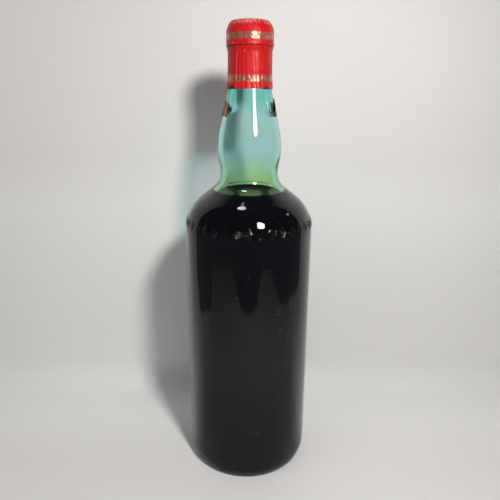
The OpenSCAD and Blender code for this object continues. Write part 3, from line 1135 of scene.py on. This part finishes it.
def cork_tree():
    """Sinks pores and channels into a smooth cork."""
    tree, rule, start, end = shape_tree(
        "Cork pores", {"Pore depth": 0.00035, "Pore scale": 420.0}, ["Material"])
    position = rule.node("GeometryNodeInputPosition").outputs[0]
    normal = rule.node("GeometryNodeInputNormal").outputs[0]
    drawn = rule.vector("MULTIPLY", position, (1.0, 0.5, 1.0))
    pores = rule.step(rule.cells(drawn, start["Pore scale"]), 0.42, 0.10)
    some = rule.step(rule.noise(position, 240.0, 3.0, 0.6), 0.47, 0.60)
    lumps = rule.product(rule.noise(position, 160.0, 3.0), 0.15)
    depth = rule.product(rule.total(rule.product(pores, some), lumps), start["Pore depth"], -1.0)
    mesh = moved(rule, start["Mesh"], rule.scaled(normal, depth))
    finished(rule, mesh, end, [(start["Material"], None)])
    return tree


class BOTTLE_OT_cork(bpy.types.Operator):
    """Makes the cork with its bevels and pores"""
    bl_idname = "bottle.cork"
    bl_label = "Drive the cork"

    def execute(self, context):
        radius = CORK_TOP.x
        low, high = CORK_LOW.z, CORK_TOP.z
        bevel = 0.6 * MM
        round_off = 0.3 * bevel
        disc = [0.12 * radius * i for i in range(8)]
        foot = [(r, low) for r in disc] + [(radius - bevel, low), (radius - round_off, low + round_off)]
        side = straight(radius, low + bevel, radius, high - bevel, 110)
        head = [(r, low + high - z) for r, z in reversed(foot)]
        piece = turned("cork_stopper", [Row(r, z, 180) for r, z in foot + side + head])
        shaped(piece, cork_tree(), {"Pore depth": 0.35 * MM, "Pore scale": 420.0, "Material": cork_bark()})
        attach(piece, "stopper")
        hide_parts("cork")
        return {"FINISHED"}


# The foil

def foil_tree():
    """Pushes a plain sheet of foil or paper into pleats, lumps, upright wrinkles and creases."""
    tree, rule, start, end = shape_tree("Pressed foil", {
        "Pleats": 24.0, "Pleat share": 0.0, "Lump share": 0.4, "Lump scale": 300.0, "Wrinkle share": 0.3,
        "Wrinkle scale": 600.0, "Wrinkle stretch": 0.15, "Crease share": 0.3, "Crease scale": 300.0},
        ["Outer face", "Inner face"])
    rest = named(rule, "rest", "FLOAT_VECTOR")
    push = named(rule, "push", "FLOAT_VECTOR")
    inside = named(rule, "inside", "FLOAT")
    x, y, z = rule.split(rest)
    share = rule.share_round(x, y)

    # Pleats that lean over, each with its own size
    level = rule.joined(x, y, rule.product(z, 0.12))
    stray = rule.swing(rule.noise(level, 130.0, 2.0), 2.2)
    place = rule.math("FRACT", rule.total(rule.product(share, start["Pleats"]), stray, 20.0))
    rise = rule.step(place, 0.0, 0.62)
    fall = rule.step(place, 1.0, 0.80)
    size = rule.step(rule.noise(level, 210.0, 1.0), 0.30, 0.66, 0.25, 1.0)
    pleat = rule.product(rise, fall, size, start["Pleat share"])

    # Lumps, upright wrinkles and sharp creases
    lump = rule.product(rule.step(rule.noise(rest, start["Lump scale"], 2.0, 0.55), 0.30, 0.72),
                        start["Lump share"])
    tall = rule.joined(x, y, rule.product(z, start["Wrinkle stretch"]))
    wrinkle = rule.product(rule.noise(tall, start["Wrinkle scale"], 3.0, 0.6), start["Wrinkle share"])
    bent = rule.vector("ADD", rest, rule.scaled(
        rule.joined(rule.noise(rest, 210.0), rule.noise(rest, 230.0), rule.noise(rest, 190.0)), 3.5 * MM))
    bent = rule.vector("MULTIPLY", bent, (1.0, 1.0, 0.62))
    sharp = rule.step(rule.cells(bent, start["Crease scale"], "DISTANCE_TO_EDGE"), 0.16, 0.0)
    crease = rule.product(sharp, rule.step(rule.noise(rest, 260.0, 1.0), 0.40, 0.62))
    field = rule.math("ADD", rule.total(pleat, lump, wrinkle),
                      rule.product(crease, start["Crease share"]), clamp=True)

    store = rule.node("GeometryNodeStoreNamedAttribute", data_type="FLOAT", domain="POINT")
    rule.feed(store.inputs["Geometry"], start["Mesh"])
    store.inputs["Name"].default_value = "crease"
    rule.feed(store.inputs["Value"], rule.most(crease, rule.product(rise, fall, start["Pleat share"])))
    mesh = moved(rule, store.outputs[0], rule.scaled(push, field))
    within = rule.math("GREATER_THAN", inside, 0.6)
    finished(rule, mesh, end, [(start["Outer face"], None), (start["Inner face"], within)])
    return tree


def crown_surface(s, foil):
    """The crown's outer skin, from the middle of its top out to the cut, pressed inwards."""
    within = 0.01 * MM
    edge_radius = s.bore_radius + s.mouth_chamfer + s.mouth_land
    edge_z = stations(s).mouth - s.lip_edge
    half_width = CROWN_TOP.x - edge_radius - within
    half_height = CROWN_TOP.z - edge_z - within
    top, bend = 0.34, 0.72
    into_bore = 0.5 * MM

    def surface(u, v):
        angle = math.tau * u
        out = round_point(angle, 1, 0)
        up = Vector((0, 0, 1))
        if v <= top:
            share = v / top
            point = round_point(angle, edge_radius * share, CROWN_TOP.z - within)
            over_bore = 1 - ease(min(share / 0.95, 1))
            return point, up, up * -(foil.top_room + into_bore * over_bore)
        if v <= bend:
            share = (v - top) / (bend - top)
            turned_by = math.pi / 2 * (1 - share)
            across, above = math.cos(turned_by), math.sin(turned_by)
            point = round_point(angle, edge_radius + half_width * across, edge_z + half_height * above)
            normal = (out * (across / half_width) + up * (above / half_height)).normalized()
            return point, normal, normal * -(foil.top_room + (foil.crown_room - foil.top_room) * across)
        share = (v - bend) / (1 - bend)
        low = CROWN_LOW.z + 2 * within
        jag = 0.12 * MM * (1 + noise.noise(Vector((9 * math.cos(angle), 9 * math.sin(angle), 3))))
        point = round_point(angle, edge_radius + half_width, edge_z + (low + jag * share - edge_z) * share)
        return point, out, out * -foil.crown_room

    return surface


def skirt_surface(s, foil, painted_shades):
    """The skirt's outer skin, from the cut down to its torn hem, pushed outwards.

    painted_shades gathers how deep the painted shade is at each point, round a half."""
    gap = 0.07 * MM
    notches = ((-51, 15, 2.5 * MM), (45, 12, 1.8 * MM), (150, 9, 1.1 * MM), (-140, 8, 0.9 * MM))
    # Patches of painted shade just under the cut below the crown
    cut_shades = ((-62, 20, 0.9 * MM), (-22, 6, 0.6 * MM), (60, 9, 0.6 * MM), (170, 20, 0.7 * MM))

    def height_of(marks, degrees):
        total = 0
        for at, width, height in marks:
            total += height * math.exp(-(math.remainder(degrees - at, 360) / width) ** 2)
        return total

    def hem(degrees):
        around = Vector((math.cos(math.radians(degrees)), math.sin(math.radians(degrees)), 0))
        slow = noise.noise(around * 1.9)
        teeth = noise.noise(around * 14)
        steady = max(0, 1 - height_of(notches, degrees) / (1.2 * MM))
        return SKIRT_LOW.z + foil.hem_tear * (0.2 + (0.8 + slow * 0.9 + teeth * 0.45) * steady)

    def surface(u, v):
        angle = math.tau * u
        degrees = math.degrees(angle)
        low = hem(degrees)
        z = SKIRT_TOP.z - 0.02 * MM + (low - SKIRT_TOP.z) * v
        normal = round_point(angle, 1, 0)
        fold = 0.60 * MM * min(1, 6 * v) * math.exp(-((degrees - 322 - 6 * (1 - v) ** 3) / 1.7) ** 2)
        fold += 0.55 * MM * max(0, 2 * v - 1) * math.exp(-((degrees - 308) / 1.9) ** 2)
        point = round_point(angle, glass_radius(s, z) + gap + foil.foil + fold, z)
        room = foil.neck_room + (foil.hem_room - foil.neck_room) * v ** 1.6
        # How deep the painted shade is: over the hem where it lifts off the glass, and in patches just under
        # the cut
        foot = low + height_of(notches, degrees) - 0.3 * MM - z
        head = z - SKIRT_TOP.z + height_of(cut_shades, degrees) - 0.2 * MM
        painted_shades.append(0.5 + max(foot, head) / (0.5 * MM))
        return point, normal, normal * room

    return surface


class BOTTLE_OT_foil(bpy.types.Operator):
    """Makes the two parts of the foil capsule: the crown over the lip and the pleated skirt"""
    bl_idname = "bottle.foil"
    bl_label = "Press the foil"

    def execute(self, context):
        s = context.scene.bottle_sizes
        foil = context.scene.foil_sizes
        faces = {"Outer face": red_foil(), "Inner face": foil_inside()}
        tree = foil_tree()
        crown = wrapped("foil_crown", crown_surface(s, foil), 260, 84, foil.foil, True)
        closed_poles(crown)
        shaped(crown, tree, {
            **faces, "Pleat share": 0.0, "Lump share": 0.62, "Lump scale": 330.0, "Wrinkle share": 0.22,
            "Wrinkle scale": 520.0, "Wrinkle stretch": 0.3, "Crease share": -0.35, "Crease scale": 330.0})
        painted_shades = []
        skirt = wrapped("foil_skirt", skirt_surface(s, foil, painted_shades), 540, 72, foil.foil, True)
        keep_values(skirt.data, "painted_shade", [min(1.0, max(0.0, painted_shade)) for painted_shade in painted_shades * 2])
        shaped(skirt, tree, {
            **faces, "Pleats": float(foil.pleats), "Pleat share": 0.62, "Lump share": 0.12,
            "Lump scale": 260.0, "Wrinkle share": 0.40, "Wrinkle scale": 620.0, "Wrinkle stretch": 0.10,
            "Crease share": 0.30, "Crease scale": 260.0})
        for piece, body, node in ((crown, "crown", "capsule_crown"), (skirt, "bottle", "capsule_skirt")):
            without(piece, "rest", "push", "inside")
            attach(piece, body)
            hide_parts(node)
        return {"FINISHED"}


# The paper

def strip_surface(s, paper, at, seed, far_side, tears):
    """One end of the strip pasted round the neck, from its cut foot up to its torn edge."""
    foot = STRIP_LOW.z
    half_turn = paper.width / 2 / glass_radius(s, foot)

    def surface(u, v):
        side = 2 * u - 1
        slant = 1 - 0.42 * (1 - v) if side * far_side > 0 else 1
        angle = at + half_turn * side * slant
        along = u * (len(tears) - 1)
        first = min(int(along), len(tears) - 2)
        torn = tears[first] + (tears[first + 1] - tears[first]) * (along - first)
        fray = 0.5 + 0.5 * noise.noise(Vector((u * 44.0, seed, 9)))
        top = STRIP_TOP.z - paper.tear * torn - 0.35 * MM * fray
        z = foot + 0.02 * MM + (top - foot) * v
        normal = round_point(angle, 1, 0)
        corner = max(0, v - 0.55) / 0.45
        lift = paper.lift * corner ** 2 * (0.35 + 0.65 * abs(2 * u - 1) ** 2)
        radius = glass_radius(s, z) + 0.05 * MM + paper.thickness + lift
        return round_point(angle, radius, z), normal, normal * 0.10 * MM

    return surface


class BOTTLE_OT_paper(bpy.types.Operator):
    """Pastes the two torn ends of the paper strip on the neck"""
    bl_idname = "bottle.paper"
    bl_label = "Paste the paper"

    def execute(self, context):
        s = context.scene.bottle_sizes
        paper = context.scene.paper_sizes
        material = old_paper()
        tree = foil_tree()
        left_tears = (0.36, 0.24, 0.3, 0.12, 0.18, 0.08, 0.16, 0.2, 0.14, 0.24, 0.18, 0.28, 0.34, 0.3, 0.44)
        right_tears = (1, 0.8, 0.62, 0.38, 0.3, 0.12, 0.06, 0, 0.1, 0.3, 1.2, 1.3, 1.1, 0.4, 0.42)
        ends = (("torn_strip_left", paper.left_turn, 2.4, -1, "seal_end_left", left_tears),
                ("torn_strip_right", paper.right_turn, 7.9, 1, "seal_end_right", right_tears))
        for name, at, seed, far_side, node, tears in ends:
            surface = strip_surface(s, paper, at, seed, far_side, tears)
            rows = 56
            piece = wrapped(name, surface, 2 * rows, rows, paper.thickness, False)
            shaped(piece, tree, {
                "Outer face": material, "Inner face": material, "Pleat share": 0.0, "Lump share": 0.5,
                "Lump scale": 260.0, "Wrinkle share": 0.3, "Wrinkle scale": 420.0, "Wrinkle stretch": 1.0,
                "Crease share": 0.25, "Crease scale": 240.0})
            without(piece, "rest", "push")
            shares = [(i % (rows + 1)) / rows for i in range(len(piece.data.vertices))]
            keep_values(piece.data, "torn", [max(0, share * 9 - 8) for share in shares])
            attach(piece, "bottle")
            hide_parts(node)
        return {"FINISHED"}


# The stage

def soft_lamp(name, shape, size, place, at, watts, tint, hidden_from):
    """An area lamp at a place, aimed at another, and hidden from one more kind of light path."""
    lamp = bpy.data.lights.new(name, "AREA")
    lamp.shape = shape
    lamp.size, lamp.size_y = size
    lamp.energy = watts
    lamp.color = tint
    thing = bpy.data.objects.new(name, lamp)
    thing.location = place
    thing.rotation_mode = "QUATERNION"
    thing.rotation_quaternion = (Vector(at) - Vector(place)).to_track_quat("-Z", "Y")
    for path in ("camera", "transmission", hidden_from):
        setattr(thing, "visible_" + path, False)
    bpy.context.scene.collection.objects.link(thing)


def room():
    """The room: dark in front and above, grey behind, pale for the camera and through the glass."""
    world = bpy.data.worlds.new("Room")
    world.use_nodes = True
    bpy.context.scene.world = world
    rule = Rule(world.node_tree)
    sky = world.node_tree.nodes["Background"]
    y, z = rule.split(rule.node("ShaderNodeTexCoord").outputs["Generated"])[1:]
    behind = rule.step(y, 0.26, 0.48)
    low = rule.mix(rule.step(z, -0.15, 0.1), (0.140, 0.140, 0.180), (0.074, 0.077, 0.108))
    dark = rule.mix(behind, low, (0.27, 0.27, 0.27))
    path = rule.node("ShaderNodeLightPath").outputs
    through = rule.product(path["Is Transmission Ray"], rule.math("LESS_THAN", path["Glossy Depth"], 0.5))
    seen = rule.most(path["Is Camera Ray"], through)

    # Light that has left one matt surface finds the room nearly dark
    first = rule.math("LESS_THAN", path["Diffuse Depth"], 0.5)
    soft = rule.mix(first, (0.030, 0.028, 0.028), dark)
    rule.feed(sky.inputs["Color"], rule.mix(rule.product(seen, first), soft, (0.70, 0.69, 0.68)))
    sky.inputs["Strength"].default_value = 1.0


class BOTTLE_OT_stage(bpy.types.Operator):
    """Sets the camera, the pale sweep, the lamps and the room"""
    bl_idname = "bottle.stage"
    bl_label = "Set the stage"

    def execute(self, context):
        scene = context.scene
        stage = scene.stage_sizes
        eye = bpy.data.cameras.new("Camera")
        eye.lens = stage.camera_lens
        eye.sensor_width = 36
        eye.shift_x, eye.shift_y = stage.camera_shift
        eye.clip_start = 0.01
        camera = bpy.data.objects.new("Camera", eye)
        camera.location = stage.camera_place
        tilt = Matrix.Rotation(math.pi / 2 - stage.camera_pitch, 3, "X")
        lean = Matrix.Rotation(stage.camera_roll, 3, "Z")
        camera.rotation_euler = (tilt @ lean).to_euler()
        scene.collection.objects.link(camera)
        scene.camera = camera

        bend = arc((stage.sweep_back - stage.sweep_round, stage.sweep_round),
                   stage.sweep_round, stage.sweep_round, -math.pi / 2, 0, 20)
        line = [*bend, (stage.sweep_back, stage.sweep_height)]
        under = 0.05 * MM
        points = [(x, y, z - under) for y, z in line for x in (-stage.sweep_left, stage.sweep_right)]
        faces = [(2 * i, 2 * i + 1, 2 * i + 3, 2 * i + 2) for i in range(len(line) - 1)]

        # The floor ends at this outline, which shows in the gloss of the glass's side
        outline = (
            (0.35, 0.02), (0.335, -0.065), (0.30, -0.11), (0.276, -0.176), (0.284, -0.25),
            (0.285, -0.32), (0.259, -0.385), (0.18, -0.41), (0.144, -0.386), (0.107, -0.342),
            (0.079, -0.314), (0.039, -0.302), (-0.023, -0.303), (-0.072, -0.316), (-0.111, -0.340),
            (-0.129, -0.391), (-0.177, -0.406), (-0.237, -0.403), (-0.355, -0.356), (-0.479, -0.273),
            (-0.49, -0.214), (-0.366, -0.158), (-0.287, -0.125), (-0.286, -0.025), (-0.28, 0.02))
        front = len(points)
        count = len(outline)
        middle = -0.12
        for grow in (0.95, 1.04):
            points += [(x * grow, (y - middle) * grow + middle, -under) for x, y in outline]
        faces.append((0, *reversed(range(front, front + count)), 1))
        for i in range(front, front + count - 1):
            faces.append((i, i + 1, i + 1 + count, i + count))

        # A wide sheet just under it carries the floor on for the camera
        reach = 0.62
        wide = arc((0.0, bend[0][0]), reach, reach, math.pi, math.tau, 48)
        faces.append(range(len(points), len(points) + len(wide)))
        points += [(x, y, -6 * under) for x, y in wide]
        sweep = new_piece("pale_sweep", points, faces, [sweep_paper()])
        keep_values(sweep.data, "past_cut", [float(i >= front + count) for i in range(len(points))])

        lamps = (
            ("Key lamp", "DISK", (0.052, 0.052), (0.096, -0.263, 0.387), (0.0, -0.03, 0.06),
             stage.key_watts, (1.0, 0.985, 0.965), "glossy"),
            ("Key glow", "ELLIPSE", (0.060, 0.089), (0.0945, -0.228, 0.318), (0.0, 0.0, 0.20),
             stage.glow_watts, (1.0, 0.98, 0.97), "diffuse"),
            ("Top lamp", "DISK", (0.090, 0.090), (-0.071, -0.064, 0.60), (0.0, 0.0, 0.15),
             stage.top_watts, (0.90, 0.88, 1.0), "diffuse"),
            ("Side lamp", "ELLIPSE", (0.007, 0.016), (0.19, 0.0, 0.30), (0.0, 0.0, 0.25),
             stage.side_watts, (0.75, 0.75, 1.0), "diffuse"),
            ("Fill lamp", "RECTANGLE", (0.30, 0.30), (-0.33, -0.22, 0.33), (0.0, 0.079, 0.15),
             stage.fill_watts, (1.0, 0.985, 0.97), "glossy"))
        for lamp in lamps:
            soft_lamp(*lamp)
        room()
        scene.view_settings.view_transform = "Standard"
        return {"FINISHED"}


# Panel and registration

class BOTTLE_PT_panel(bpy.types.Panel):
    """Lists the steps in the order in which they are run"""
    bl_label = "Filled bottle"
    bl_idname = "BOTTLE_PT_panel"
    bl_space_type = "VIEW_3D"
    bl_region_type = "UI"
    bl_category = "Bottle"

    def draw(self, context):
        for step in STEPS:
            self.layout.operator(step.bl_idname)
        for label, group in GROUPS.items():
            box = self.layout.box()
            box.label(text=label.replace("_", " ").capitalize())
            settings = getattr(context.scene, label)
            for name in group.__annotations__:
                box.prop(settings, name)


STEPS = (BOTTLE_OT_stage, BOTTLE_OT_glass, BOTTLE_OT_wine, BOTTLE_OT_cork, BOTTLE_OT_foil, BOTTLE_OT_paper)
GROUPS = {
    "bottle_sizes": BottleSizes,
    "foil_sizes": FoilSizes,
    "paper_sizes": PaperSizes,
    "bottle_finishes": Finishes,
    "stage_sizes": StageSizes,
}


def register():
    for kind in (*GROUPS.values(), *STEPS, BOTTLE_PT_panel):
        bpy.utils.register_class(kind)
    for label, group in GROUPS.items():
        setattr(bpy.types.Scene, label, PointerProperty(type=group))


def unregister():
    for label in GROUPS:
        delattr(bpy.types.Scene, label)
    for kind in reversed((*GROUPS.values(), *STEPS, BOTTLE_PT_panel)):
        bpy.utils.unregister_class(kind)


def main():
    register()
    bpy.ops.bottle.stage()
    bpy.ops.bottle.glass()
    bpy.ops.bottle.wine()
    bpy.ops.bottle.cork()
    bpy.ops.bottle.foil()
    bpy.ops.bottle.paper()


if __name__ == "__main__":
    main()
